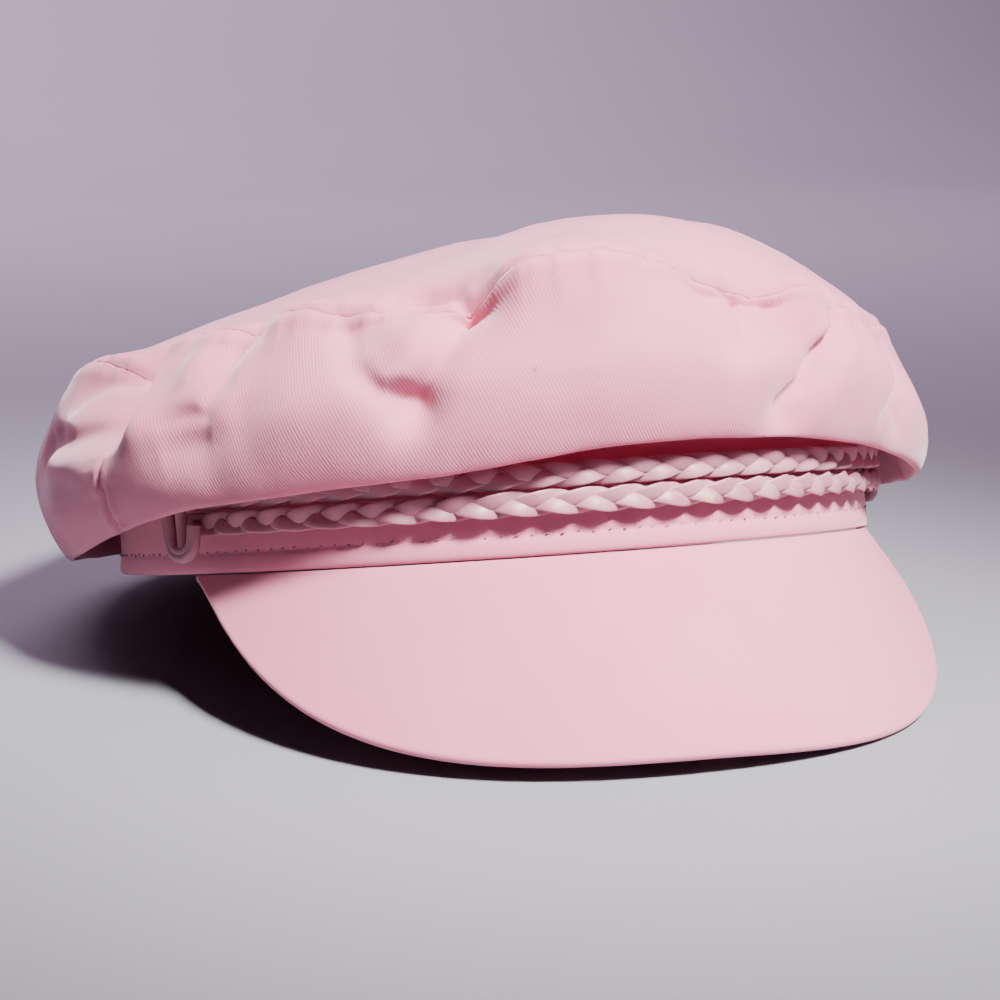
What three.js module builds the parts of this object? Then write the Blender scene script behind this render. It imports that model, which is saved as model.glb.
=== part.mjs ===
// A breton fisherman cap of cotton twill: a soft crown that sags over its head band, a stiff
// peak, and two plaited cords along the front of the band with a knot at each end.
//
// Millimetres and degrees. The cap is drawn in its own frame: the band's lower edge lies in the
// plane Z = 0, the peak points to -Y and the wearer's left is +X. Angles run round the cap from
// the middle of the front, 0, to the wearer's left, 90, and the back, 180. The finished cap is
// then leaned back until it rests on its peak's edge and on the back of its band.
import * as THREE from 'three';

// Head band
const bandLength = 193.8;      // outside, front to back
const bandWidth = 183.4;       // outside, across the temples
const bandHeight = 28;
const bandWall = 2.2;          // cloth folded over on itself
const hemHeight = 4.2;         // the rolled lower edge
const hemProud = 0.7;
const hemPress = 0.4;          // how far the hem is pressed flat where it rests

// Crown
const crownRise = 51.5;        // highest point of the crown above the band
const crownReach = 18;         // how far the fullest part stands out from the band
const foldDrop = 24;           // how far the fold over the band hangs down at its lowest
const clothWall = 1.5;
const apexLeft = 18;           // the highest point lies this far to the wearer's left
const apexFront = 4;           // and this far forward
const sideSeam = 72;           // angle of each side seam, where front and back panels meet
const foldWidth = 10;          // half width of a fold of width 1 in the table of folds
const foldDepth = 8;           // depth of a fold of depth 1 in the table of folds
const tipRadius = 100;         // nominal radius of the flat tip panel
const panelDepth = 46;         // cloth from the tip's seam down to the fold
const tuckDepth = 14;          // cloth from the fold back up to the band

// Peak
const peakDepth = 48;
const peakWall = 2.4;          // board between two layers of cloth
const peakHalfAngle = 69.7;    // the peak spans this much to either side of the front
const peakSlope = 60.7;        // below the plane of the band, at the middle
const peakEndSlope = 52.7;     // the same at the ends
const peakTwist = 1.7;         // the wearer's left half is this much steeper
const peakLean = -6.2;         // turn of the peak's end rulings towards the front
const peakFlare = 0.38;        // extra depth towards the corners, as a share of the depth
const peakSkew = 0.1;          // extra depth on the wearer's left, as a share of the depth
const peakCorner = 3.1;        // how square the peak's corners are
const peakEase = 1.67;         // how softly its edge runs in to the band
const peakEndShare = 0.97;     // the peak stops at this share of its half angle

// Plaited cords and their knots
const cordDiameter = 5.4;
const cordDrop = 8.6;          // top of the upper cord below the top of the band
const cordTurn = 7;            // the cords are set round this much to the wearer's left
const cordPastKnot = 6;        // length of each cord beyond the middle of its knot
const knotHalfAngle = 71.5;    // middle of each knot, from the middle of the cords
const knotCordDiameter = 2.6;
const knotHalfWidth = 3.8;     // half the distance between the two legs of a knot
const knotDropRight = 5.7;     // middle of the knot's bend below the lower cord's middle
const knotDropLeft = 3.2;

// Clearances
const gap = 0.3;
const seamGap = 0.34;

// Where the folds turn from lifting the tip to swelling the side, and where they die away, as
// stations down the cloth, which are described with the table of folds
const turnStations = [0.5, 1.6];
const underStations = [2, 3];
const underTilt = 35;          // degrees below level that the folds move the cloth at the fold
const fadeStations = [2.6, 3.4];

// Fineness of the faceted surfaces
const frontSteps = 36;
const backSteps = 36;
const bandSteps = 72;
const peakSteps = 36;
const cordSteps = 66;
const cordSides = 8;

// The crown's section every 30 degrees round. tuck, fold, belly and seam are distances out from
// the band as shares of crownReach. drop is the fold's depth below the band's top as a share of
// foldDrop. bellyRise and seamRise are heights above the band's top as shares of crownRise.
// shoulder is how fully the tip rounds over: 1 is a cone, 3 a flat top with a quick shoulder.
const sectionColumns = ['angle', 'tuck', 'fold', 'drop', 'belly', 'bellyRise', 'seam', 'seamRise',
  'shoulder'];
const sections = [
  [-180, 0.20, 0.52, 0.79, 1.00, -0.08, 0.35, 0.31, 2.6],
  [-150, 0.20, 0.55, 0.92, 1.05, -0.10, 0.32, 0.35, 2.2],
  [-120, 0.22, 0.62, 1.00, 1.05, -0.10, 0.28, 0.39, 1.8],
  [-90, 0.30, 0.68, 0.94, 1.04, -0.06, 0.15, 0.42, 1.4],
  [-60, 0.42, 0.74, 0.58, 0.98, 0.06, -0.10, 0.47, 1.2],
  [-30, 0.26, 0.58, 0.44, 0.88, 0.14, 0.25, 0.54, 1.7],
  [0, 0.15, 0.52, 0.23, 0.85, 0.23, 0.45, 0.60, 3.2],
  [30, 0.18, 0.52, 0.33, 0.85, 0.16, 0.40, 0.47, 3.0],
  [60, 0.42, 0.72, 0.66, 0.92, -0.08, 0.38, 0.38, 2.6],
  [90, 0.42, 0.70, 0.79, 0.97, -0.08, 0.38, 0.39, 2.5],
  [120, 0.20, 0.52, 0.79, 0.96, -0.08, 0.35, 0.35, 2.4],
  [150, 0.20, 0.50, 0.79, 1.00, -0.08, 0.35, 0.31, 2.5],
].map((row) => Object.fromEntries(row.map((value, k) => [sectionColumns[k], value])));

// The crown's main folds and dents, each from one place to another. A place is an angle and a
// station down the cloth: 0 the highest point, 1 the tip's seam, 2 the belly, 3 the fold over
// the band, 4 the tuck and 5 the foot. Depth is outward, and below zero for a dent.
const folds = [
  { name: 'front arch', from: [-16, 0.98], to: [-8, 1.0], width: 1.3, depth: 0.56 },
  { name: 'pucker', from: [-30, 1.0], to: [-23, 1.12], width: 0.8, depth: -0.9 },
  { name: 'front pouch', from: [-29, 1.45], to: [-30, 1.65], width: 1.2, depth: 0.45 },
  { name: 'pouch right crease', from: [-22, 1.2], to: [-29, 2.1], width: 0.6, depth: -0.5 },
  { name: 'pouch left crease', from: [-39, 1.1], to: [-30, 2.1], width: 0.7, depth: -0.4 },
  { name: 'shoulder knuckle', from: [-42, 0.96], to: [-48, 0.98], width: 0.8, depth: 0.3 },
  { name: 'temple bulge', from: [-58, 1.25], to: [-55, 1.7], width: 1.0, depth: 0.38 },
  { name: 'temple hollow', from: [-51, 2.0], to: [-54, 2.1], width: 1.0, depth: -0.38 },
  { name: 'temple pinch', from: [-53, 1.05], to: [-56, 1.3], width: 0.55, depth: -0.4 },
  { name: 'side dent', from: [-77, 1.0], to: [-71, 1.5], width: 0.8, depth: -1.15 },
  { name: 'side ridge', from: [-67, 1.1], to: [-65, 1.8], width: 0.6, depth: 0.38 },
  { name: 'rear bulge', from: [-104, 1.35], to: [-88, 1.4], width: 1.2, depth: 0.5 },
  { name: 'rear hollow', from: [-98, 1.7], to: [-72, 1.75], width: 0.6, depth: -0.4 },
  { name: 'left crease', from: [7, 1.15], to: [9, 1.85], width: 0.6, depth: -0.45 },
  { name: 'left bowl', from: [15, 1.2], to: [16, 1.6], width: 1.1, depth: -0.7 },
  { name: 'left ridge', from: [24, 1.0], to: [26, 1.5], width: 0.7, depth: 0.3 },
  { name: 'left long fold', from: [30, 1.35], to: [17, 2.6], width: 0.75, depth: -0.45 },
  { name: 'left rear fold', from: [47, 1.2], to: [42, 2.3], width: 0.7, depth: -0.38 },
  { name: 'back hollow', from: [150, 1.1], to: [164, 2.0], width: 1.4, depth: -0.5 },
  { name: 'back slack', from: [-160, 1.0], to: [-140, 1.6], width: 1.5, depth: -0.45 },
  { name: 'tip hollow', from: [-20, 0.5], to: [-50, 0.62], width: 2.2, depth: -0.3 },
];

const bandA = bandLength / 2;
const bandB = bandWidth / 2;
const rad = THREE.MathUtils.degToRad;
const { smoothstep, lerp } = THREE.MathUtils;

// A point on the ellipse round the band, at a distance out from it and at a height.
function around(angle, reach, height) {
  const t = rad(angle);
  return new THREE.Vector3((bandB + reach) * Math.sin(t), -(bandA + reach) * Math.cos(t), height);
}

// Degrees round the cap that a length along the front of the band takes up.
function degreesFor(length, angle) {
  const t = rad(angle);
  return THREE.MathUtils.radToDeg(length / Math.hypot(bandB * Math.cos(t), bandA * Math.sin(t)));
}

// The smooth curve through four even steps, between the two in the middle.
function through(a, b, c, d, t) {
  return 0.5 * (2 * b + (c - a) * t + (2 * a - 5 * b + 4 * c - d) * t * t
    + (3 * b - a - 3 * c + d) * t * t * t);
}

// The crown's section at any angle, eased between the rows of the table.
function sectionAt(angle) {
  const step = 360 / sections.length;
  const place = (angle - sections[0].angle) / step;
  const first = Math.floor(place);
  const row = (k) => sections[(((first + k) % sections.length) + sections.length) % sections.length];
  const eased = {};
  for (const key of Object.keys(sections[0])) {
    eased[key] = through(row(-1)[key], row(0)[key], row(1)[key], row(2)[key], place - first);
  }
  return eased;
}

// The side panel's line from its foot on the band up to the tip's seam, as [reach, height].
function sideLine(section) {
  return [
    [-bandWall, bandHeight + gap],
    [section.tuck * crownReach, bandHeight + gap + clothWall / 2],
    [section.fold * crownReach, bandHeight - section.drop * foldDrop],
    [section.belly * crownReach, bandHeight + section.bellyRise * crownRise],
    [section.seam * crownReach, bandHeight + section.seamRise * crownRise],
  ];
}

// A place on the side panel: station 1 is the tip's seam and 5 the foot.
function sidePoint(angle, station) {
  const line = sideLine(sectionAt(angle));
  const along = 5 - station;
  const k = Math.min(Math.floor(along), line.length - 2);
  const end = line.length - 1;
  const value = (i, n) => {
    if (i < 0) return 2 * line[0][n] - line[1][n];
    if (i > end) return 2 * line[end][n] - line[end - 1][n];
    return line[i][n];
  };
  const [reach, height] = [0, 1].map((n) => through(
    value(k - 1, n), value(k, n), value(k + 1, n), value(k + 2, n), along - k));
  return around(angle, reach, height);
}

// A place on the tip panel: station 0 is the crown's highest point and 1 the seam.
function tipPoint(angle, station) {
  const seam = sidePoint(angle, 1);
  const apex = new THREE.Vector3(apexLeft, -apexFront, bandHeight + crownRise);
  const point = apex.clone().lerp(seam, station);
  point.z = lerp(apex.z, seam.z, station ** sectionAt(angle).shoulder);
  return point;
}

// Where a place lies on the cloth when the crown is spread out flat round its highest point.
function spreadOut(angle, station) {
  const marks = [0, tipRadius, tipRadius + panelDepth / 2, tipRadius + panelDepth,
    tipRadius + panelDepth + tuckDepth / 2, tipRadius + panelDepth + tuckDepth];
  const k = Math.min(Math.floor(station), marks.length - 2);
  const out = lerp(marks[k], marks[k + 1], station - k);
  return new THREE.Vector2(out * Math.sin(rad(angle)), -out * Math.cos(rad(angle)));
}

// How far all the folds together move the cloth outwards at a place.
function foldLift(angle, station) {
  const place = spreadOut(angle, station);
  let lift = 0;
  for (const fold of folds) {
    const start = spreadOut(...fold.from);
    const run = spreadOut(...fold.to).sub(start);
    const share = THREE.MathUtils.clamp(place.clone().sub(start).dot(run) / run.lengthSq(), 0, 1);
    const away = place.distanceTo(start.addScaledVector(run, share)) / (fold.width * foldWidth);
    lift += fold.depth * foldDepth * Math.exp(-away * away);
  }
  return lift;
}

// The way the folds move the cloth: up on the tip, outwards on the side, down under the fold.
function foldWay(angle, station) {
  const tilt = 90 * (1 - smoothstep(station, ...turnStations))
    - underTilt * smoothstep(station, ...underStations);
  const level = new THREE.Vector3(Math.sin(rad(angle)) / bandB, -Math.cos(rad(angle)) / bandA, 0);
  return level.setLength(Math.cos(rad(tilt))).setZ(Math.sin(rad(tilt)));
}

// The crown's outer surface.
function crownPoint(angle, station) {
  const point = station < 1 ? tipPoint(angle, station) : sidePoint(angle, station);
  const fade = 1 - smoothstep(station, ...fadeStations);
  return point.addScaledVector(foldWay(angle, station), foldLift(angle, station) * fade);
}

// Outward normal of a surface given as a function of two numbers.
function normalAt(surface, u, v, du, dv, low, high) {
  const across = surface(u + du, v).sub(surface(u - du, v));
  const down = surface(u, Math.min(v + dv, high)).sub(surface(u, Math.max(v - dv, low)));
  return down.cross(across).normalize();
}

// The inner face of the cloth at a place. Along the tip's seam both panels share one mitre.
function clothInside(angle, station) {
  const point = crownPoint(angle, station);
  const normal = (low, high) => normalAt(crownPoint, angle, station, 1.5, 0.06, low, high);
  const onTip = station < 1;
  return point.addScaledVector(onTip ? normal(0.001, 0.999) : normal(1, 5), -clothWall);
}

function seamMitre(angle) {
  const tip = normalAt(crownPoint, angle, 0.97, 1.5, 0.03, 0.9, 0.999);
  const side = normalAt(crownPoint, angle, 1.1, 1.5, 0.1, 1, 5);
  const mitre = tip.clone().add(side).normalize();
  return mitre.multiplyScalar(-clothWall / Math.max(mitre.dot(side), 0.7));
}

// A closed mesh from lists of corners, with corners at one place shared and slivers left out.
function solid(quads) {
  const positions = [];
  const index = [];
  const known = new Map();
  const corner = (p) => {
    const key = [p.x, p.y, p.z].map((n) => n.toFixed(4)).join();
    if (!known.has(key)) {
      known.set(key, positions.length / 3);
      positions.push(p.x, p.y, p.z);
    }
    return known.get(key);
  };
  for (const quad of quads) {
    const [a, b, c, d] = quad.map(corner);
    if (a !== b && b !== c && c !== a) index.push(a, b, c);
    if (a !== c && c !== d && d !== a) index.push(a, c, d);
  }
  const geometry = new THREE.BufferGeometry();
  geometry.setAttribute('position', new THREE.Float32BufferAttribute(positions, 3));
  geometry.setIndex(index);
  geometry.computeVertexNormals();
  return geometry;
}

// A wall between an outer and an inner grid of points. Columns run round and rows run down.
// A closed ring has its last column at the first; a wall from a point has its first row there.
function wall(outer, inner, { ring, fromPoint }) {
  const quads = [];
  const columns = outer.length;
  const rows = outer[0].length;
  const sides = ring ? columns : columns - 1;
  for (let i = 0; i < sides; i += 1) {
    const next = (i + 1) % columns;
    for (let j = 0; j < rows - 1; j += 1) {
      quads.push([outer[i][j], outer[i][j + 1], outer[next][j + 1], outer[next][j]]);
      quads.push([inner[i][j], inner[next][j], inner[next][j + 1], inner[i][j + 1]]);
    }
    const last = rows - 1;
    quads.push([outer[i][last], inner[i][last], inner[next][last], outer[next][last]]);
    if (!fromPoint) quads.push([outer[i][0], outer[next][0], inner[next][0], inner[i][0]]);
  }
  if (!ring) {
    for (let j = 0; j < rows - 1; j += 1) {
      const end = columns - 1;
      quads.push([outer[0][j], inner[0][j], inner[0][j + 1], outer[0][j + 1]]);
      quads.push([outer[end][j], outer[end][j + 1], inner[end][j + 1], inner[end][j]]);
    }
  }
  return solid(quads);
}

// Even steps from one number to another, both ends included.
function steps(from, to, count) {
  return Array.from({ length: count + 1 }, (_, k) => lerp(from, to, k / count));
}

const seamShare = seamGap / 2;
const tipStations = [0, 0.18, 0.36, 0.52, 0.66, 0.78, 0.89, 1 - seamShare / tipRadius];
const sideStations = [1 + seamShare / (panelDepth / 2), 1.25, 1.5, 1.75, 2, 2.25, 2.5, 2.75, 3,
  3.25, 3.5, 4, 4.5, 5];

function tipPanel() {
  const angles = [...steps(-sideSeam, sideSeam, frontSteps).slice(0, -1),
    ...steps(sideSeam, 360 - sideSeam, backSteps).slice(0, -1)];
  const outer = angles.map((angle) => tipStations.map((station) => crownPoint(angle, station)));
  const inner = angles.map((angle) => tipStations.map((station, j) => {
    if (j === 0) return crownPoint(angle, 0).add(new THREE.Vector3(0, 0, -clothWall));
    if (j === tipStations.length - 1) return crownPoint(angle, station).add(seamMitre(angle));
    return clothInside(angle, station);
  }));
  return wall(outer, inner, { ring: true, fromPoint: true });
}

function sidePanel(from, to, count) {
  const apart = degreesFor(seamShare, sideSeam);
  const angles = steps(from, to, count);
  angles[0] += apart;
  angles[count] -= apart;
  const outer = angles.map((angle) => sideStations.map((station) => crownPoint(angle, station)));
  const inner = angles.map((angle) => sideStations.map((station, j) => {
    if (j === 0) return crownPoint(angle, station).add(seamMitre(angle));
    if (j === sideStations.length - 1) return footInside(angle);
    return clothInside(angle, station);
  }));
  return wall(outer, inner, { ring: false, fromPoint: false });
}

// The cloth's cut edge stands square on the top of the band.
function footInside(angle) {
  return around(angle, -bandWall, bandHeight + gap + clothWall);
}

// The head band: its section, from the hem round over the top and down the inside.
function bandGeometry(place) {
  const section = [
    [hemProud * 0.6, 0],
    [hemProud, hemHeight * 0.4],
    [hemProud * 0.8, hemHeight * 0.8],
    [0, hemHeight],
    [0, bandHeight],
    [-bandWall, bandHeight],
    [-bandWall, 0],
  ];
  const rows = section.length;
  const quads = [];
  const point = (i, j) => {
    const [reach, height] = section[j % rows];
    return place(around((360 / bandSteps) * i, reach, height));
  };
  for (let i = 0; i < bandSteps; i += 1) {
    for (let j = 0; j < rows; j += 1) {
      quads.push([point(i, j), point(i + 1, j), point(i + 1, j + 1), point(i, j + 1)]);
    }
  }
  return solid(quads);
}

// The peak's upper face: along runs from -1 on the wearer's right to 1, out from 0 to 1.
function peakPoint(along, out) {
  const end = Math.abs(along);
  const angle = peakHalfAngle * along;
  const t = rad(angle);
  const heading = Math.atan2(Math.sin(t) / bandB, Math.cos(t) / bandA) + rad(peakLean) * along;
  const slope = rad(lerp(peakSlope, peakEndSlope, end ** 4) + peakTwist * along);
  const depth = out * peakDepth * (1 - end ** peakCorner) ** peakEase
    * (1 + peakFlare * end ** 2 + peakSkew * along);
  return around(angle, 0, -gap).add(new THREE.Vector3(
    Math.sin(heading) * Math.cos(slope) * depth,
    -Math.cos(heading) * Math.cos(slope) * depth,
    -Math.sin(slope) * depth));
}

function peakInside(along, out) {
  const slim = Math.min(Math.abs(along), peakEndShare - 0.01) * Math.sign(along);
  const normal = normalAt(peakPoint, slim, Math.max(out, 0.05), 0.01, 0.05, 0, 1);
  return peakPoint(along, out).addScaledVector(normal, -peakWall);
}

function peakGeometry() {
  const places = steps(-peakEndShare, peakEndShare, peakSteps);
  const shares = steps(0, 1, 6);
  const outer = places.map((along) => shares.map((out) => peakPoint(along, out)));
  const inner = places.map((along) => shares.map((out) => peakInside(along, out)));
  return wall(outer, inner, { ring: false, fromPoint: false });
}

// A round cord along a list of points.
function cordGeometry(points, diameter, count) {
  const section = new THREE.Shape(steps(0, 2 * Math.PI, cordSides).slice(0, -1).map((t) => (
    new THREE.Vector2(Math.cos(t), Math.sin(t)).multiplyScalar(diameter / 2))));
  return new THREE.ExtrudeGeometry(section, {
    steps: count,
    bevelEnabled: false,
    extrudePath: new THREE.CatmullRomCurve3(points),
  });
}

const cordReach = gap + cordDiameter / 2;
const upperCordHeight = bandHeight - cordDrop - cordDiameter / 2;
const lowerCordHeight = upperCordHeight - cordDiameter - gap;

function plaitedCord(height) {
  const half = knotHalfAngle + degreesFor(cordPastKnot, knotHalfAngle);
  const places = steps(cordTurn - half, cordTurn + half, 24);
  const points = places.map((angle) => around(angle, cordReach, height));
  return cordGeometry(points, cordDiameter, cordSteps);
}

// A knot: one cord hung over both plaits in a U, its outer leg from above the upper plait and
// its inner leg ending on the face of the lower one. side is -1 on the wearer's right.
function knotGeometry(side, drop) {
  const middle = cordTurn + side * knotHalfAngle;
  const half = side * degreesFor(knotHalfWidth, middle);
  const face = cordReach + cordDiameter / 2 + gap + knotCordDiameter / 2;
  const bend = lowerCordHeight - drop;
  const top = upperCordHeight + cordDiameter / 2 + gap + knotCordDiameter / 2;
  const route = [
    [middle + half, gap + knotCordDiameter / 2, top],
    [middle + half, face * 0.72, top],
    [middle + half, face, upperCordHeight],
    [middle + half, face, lowerCordHeight],
    [middle + half * 0.75, face, lerp(lowerCordHeight, bend, 0.75)],
    [middle, face, bend],
    [middle - half * 0.75, face, lerp(lowerCordHeight, bend, 0.75)],
    [middle - half, face, lowerCordHeight],
  ];
  return cordGeometry(route.map((row) => around(...row)), knotCordDiameter, 18);
}

// The lean that brings the peak's edge and the back of the band down to one level.
function restingLean() {
  const edge = steps(-peakEndShare, peakEndShare, peakSteps).map((along) => peakInside(along, 1));
  const back = around(180, -bandWall / 2, hemPress);
  let low = 0;
  let high = Math.PI / 4;
  for (let k = 0; k < 50; k += 1) {
    const lean = (low + high) / 2;
    const height = (p) => p.z * Math.cos(lean) - p.y * Math.sin(lean);
    if (Math.min(...edge.map(height)) < height(back)) low = lean;
    else high = lean;
  }
  return low;
}

const lean = restingLean();
const up = new THREE.Vector3(0, -Math.sin(lean), Math.cos(lean));
const restLevel = Math.min(...steps(-peakEndShare, peakEndShare, peakSteps)
  .map((along) => peakInside(along, 1).dot(up)));

// The hem is pressed flat where it would reach below the surface that the cap rests on.
function pressed(point) {
  return point.addScaledVector(up, Math.max(restLevel - point.dot(up), 0));
}

const twill = new THREE.MeshStandardMaterial({ color: 0xe6b4bc, roughness: 0.9, metalness: 0, side: 2 });
const hemTwill = new THREE.MeshStandardMaterial({ color: 0xe9b9c0, roughness: 0.88, metalness: 0 });
const leather = new THREE.MeshStandardMaterial({ color: 0xe0b3b4, roughness: 0.45, metalness: 0 });

const cap = new THREE.Group();
const pieces = [
  ['crown_top', tipPanel(), twill],
  ['crown_front', sidePanel(-sideSeam, sideSeam, frontSteps), twill],
  ['crown_back', sidePanel(sideSeam, 360 - sideSeam, backSteps), twill],
  ['head_band', bandGeometry(pressed), hemTwill],
  ['peak', peakGeometry(), hemTwill],
  ['braid_upper', plaitedCord(upperCordHeight), leather],
  ['braid_lower', plaitedCord(lowerCordHeight), leather],
  ['knot_right', knotGeometry(-1, knotDropRight), leather],
  ['knot_left', knotGeometry(1, knotDropLeft), leather],
];
for (const [name, geometry, material] of pieces) {
  const mesh = new THREE.Mesh(geometry, material);
  mesh.name = name;
  cap.add(mesh);
}

// Leaned back and set down, with the middle of its outline over the origin.
cap.rotation.x = -lean;
cap.position.z = -restLevel;
const extent = new THREE.Box3().setFromObject(cap, true);
const centre = extent.getCenter(new THREE.Vector3());
cap.position.x = -centre.x;
cap.position.y = -centre.y;

const part = new THREE.Group();
part.add(cap);

export default part;
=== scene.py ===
"""A breton fisherman cap of pink cotton twill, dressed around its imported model.

A soft crown of three panels sags over a head band with a rolled, stitched hem. A stiff peak is
sewn to the band, and two plaited leather cords with a knot at each end run along its front.

Metres and degrees. As in the model's source, the cap is drawn in its own frame: the band's
lower edge lies in the plane Z = 0, the peak points to -Y, the wearer's left is +X, and angles
run round the cap from the middle of the front, 0, to the wearer's left, 90. A place on the
crown is an angle and a station down the cloth: 0 the highest point, 1 the tip's seam, 2 the
belly, 3 the fold over the band, 4 the tuck and 5 the foot.
"""
import math

import bmesh
import bpy
import numpy as np
from mathutils import Matrix, Vector, noise


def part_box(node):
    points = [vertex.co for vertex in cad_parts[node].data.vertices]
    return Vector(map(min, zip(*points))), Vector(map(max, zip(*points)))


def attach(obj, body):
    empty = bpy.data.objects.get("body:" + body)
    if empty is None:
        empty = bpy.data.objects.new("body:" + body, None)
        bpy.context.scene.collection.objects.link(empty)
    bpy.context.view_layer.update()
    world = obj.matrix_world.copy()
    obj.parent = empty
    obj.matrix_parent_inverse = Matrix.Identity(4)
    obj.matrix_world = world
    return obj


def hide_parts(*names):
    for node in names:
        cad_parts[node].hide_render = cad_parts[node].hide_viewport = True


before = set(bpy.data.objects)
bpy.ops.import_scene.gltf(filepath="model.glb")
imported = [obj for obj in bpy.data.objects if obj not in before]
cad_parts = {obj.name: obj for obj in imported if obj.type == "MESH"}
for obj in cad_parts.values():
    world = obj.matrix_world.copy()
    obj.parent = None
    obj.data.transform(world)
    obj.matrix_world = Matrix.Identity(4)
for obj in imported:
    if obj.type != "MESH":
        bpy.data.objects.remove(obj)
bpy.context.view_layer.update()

# Sizes
BAND_LENGTH = 0.1938
BAND_WIDTH = 0.1834
BAND_HEIGHT = 0.028
BAND_WALL = 0.0022
HEM_PRESS = 0.0004

CROWN_RISE = 0.0515
CROWN_REACH = 0.018
FOLD_DROP = 0.024
CLOTH_WALL = 0.0015
APEX_LEFT = 0.018
APEX_FRONT = 0.004
SIDE_SEAM = 72
FOLD_WIDTH = 0.010
FOLD_DEPTH = 0.008
TIP_RADIUS = 0.100
PANEL_DEPTH = 0.046
TUCK_DEPTH = 0.014

PEAK_DEPTH = 0.048
PEAK_WALL = 0.0024
PEAK_HALF_ANGLE = 69.7
PEAK_SLOPE = 60.7
PEAK_END_SLOPE = 52.7
PEAK_TWIST = 1.7
PEAK_LEAN = -6.2
PEAK_FLARE = 0.38
PEAK_SKEW = 0.1
PEAK_CORNER = 3.1
PEAK_EASE = 1.67
PEAK_END_SHARE = 0.97

CORD_DIAMETER = 0.0054
CORD_DROP = 0.0086
CORD_TURN = 7
CORD_PAST_KNOT = 0.006
KNOT_HALF_ANGLE = 71.5
KNOT_CORD_DIAMETER = 0.0026
KNOT_HALF_WIDTH = 0.0038
KNOT_DROP_RIGHT = 0.0057
KNOT_DROP_LEFT = 0.0032

GAP = 0.0003

# Where the folds turn from lifting the tip to swelling the side, and where they die away.
TURN_STATIONS = (0.5, 1.6)
UNDER_STATIONS = (2, 3)
UNDER_TILT = 35
FADE_STATIONS = (2.6, 3.4)

# Every 30 degrees round: tuck, fold, belly and seam are distances out from the band as shares of
# CROWN_REACH, drop is a share of FOLD_DROP, and belly_rise and seam_rise are shares of CROWN_RISE.
SECTION_COLUMNS = ("angle", "tuck", "fold", "drop", "belly", "belly_rise", "seam", "seam_rise",
                   "shoulder")
SECTIONS = np.array([
    (-180, 0.20, 0.52, 0.79, 1.00, -0.08, 0.35, 0.31, 2.6),
    (-150, 0.20, 0.55, 0.92, 1.05, -0.10, 0.32, 0.35, 2.2),
    (-120, 0.22, 0.62, 1.00, 1.05, -0.10, 0.28, 0.39, 1.8),
    (-90, 0.30, 0.68, 0.94, 1.04, -0.06, 0.15, 0.42, 1.4),
    (-60, 0.42, 0.74, 0.58, 0.98, 0.06, -0.10, 0.47, 1.2),
    (-30, 0.26, 0.58, 0.44, 0.88, 0.14, 0.25, 0.54, 1.7),
    (0, 0.15, 0.52, 0.23, 0.85, 0.23, 0.45, 0.60, 3.2),
    (30, 0.18, 0.52, 0.33, 0.85, 0.16, 0.40, 0.47, 3.0),
    (60, 0.42, 0.72, 0.66, 0.92, -0.08, 0.38, 0.38, 2.6),
    (90, 0.42, 0.70, 0.79, 0.97, -0.08, 0.38, 0.39, 2.5),
    (120, 0.20, 0.52, 0.79, 0.96, -0.08, 0.35, 0.35, 2.4),
    (150, 0.20, 0.50, 0.79, 1.00, -0.08, 0.35, 0.31, 2.5),
])

# The crown's main folds: from and to are places, width and depth shares of FOLD_WIDTH and
# FOLD_DEPTH. Below zero is a dent.
FOLDS = (
    ("front arch", (-16, 0.98), (-8, 1.0), 1.3, 0.56),
    ("pucker", (-30, 1.0), (-23, 1.12), 0.8, -0.9),
    ("front pouch", (-29, 1.45), (-30, 1.65), 1.2, 0.45),
    ("pouch right crease", (-22, 1.2), (-29, 2.1), 0.6, -0.5),
    ("pouch left crease", (-39, 1.1), (-30, 2.1), 0.7, -0.4),
    ("shoulder knuckle", (-42, 0.96), (-48, 0.98), 0.8, 0.3),
    ("temple bulge", (-58, 1.25), (-55, 1.7), 1.0, 0.38),
    ("temple hollow", (-51, 2.0), (-54, 2.1), 1.0, -0.38),
    ("temple pinch", (-53, 1.05), (-56, 1.3), 0.55, -0.4),
    ("side dent", (-77, 1.0), (-71, 1.5), 0.8, -1.15),
    ("side ridge", (-67, 1.1), (-65, 1.8), 0.6, 0.38),
    ("rear bulge", (-104, 1.35), (-88, 1.4), 1.2, 0.5),
    ("rear hollow", (-98, 1.7), (-72, 1.75), 0.6, -0.4),
    ("left crease", (7, 1.15), (9, 1.85), 0.6, -0.45),
    ("left bowl", (15, 1.2), (16, 1.6), 1.1, -0.7),
    ("left ridge", (24, 1.0), (26, 1.5), 0.7, 0.3),
    ("left long fold", (30, 1.35), (17, 2.6), 0.75, -0.45),
    ("left rear fold", (47, 1.2), (42, 2.3), 0.7, -0.38),
    ("back hollow", (150, 1.1), (164, 2.0), 1.4, -0.5),
    ("back slack", (-160, 1.0), (-140, 1.6), 1.5, -0.45),
    ("tip hollow", (-20, 0.5), (-50, 0.62), 2.2, -0.3),
)

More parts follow.
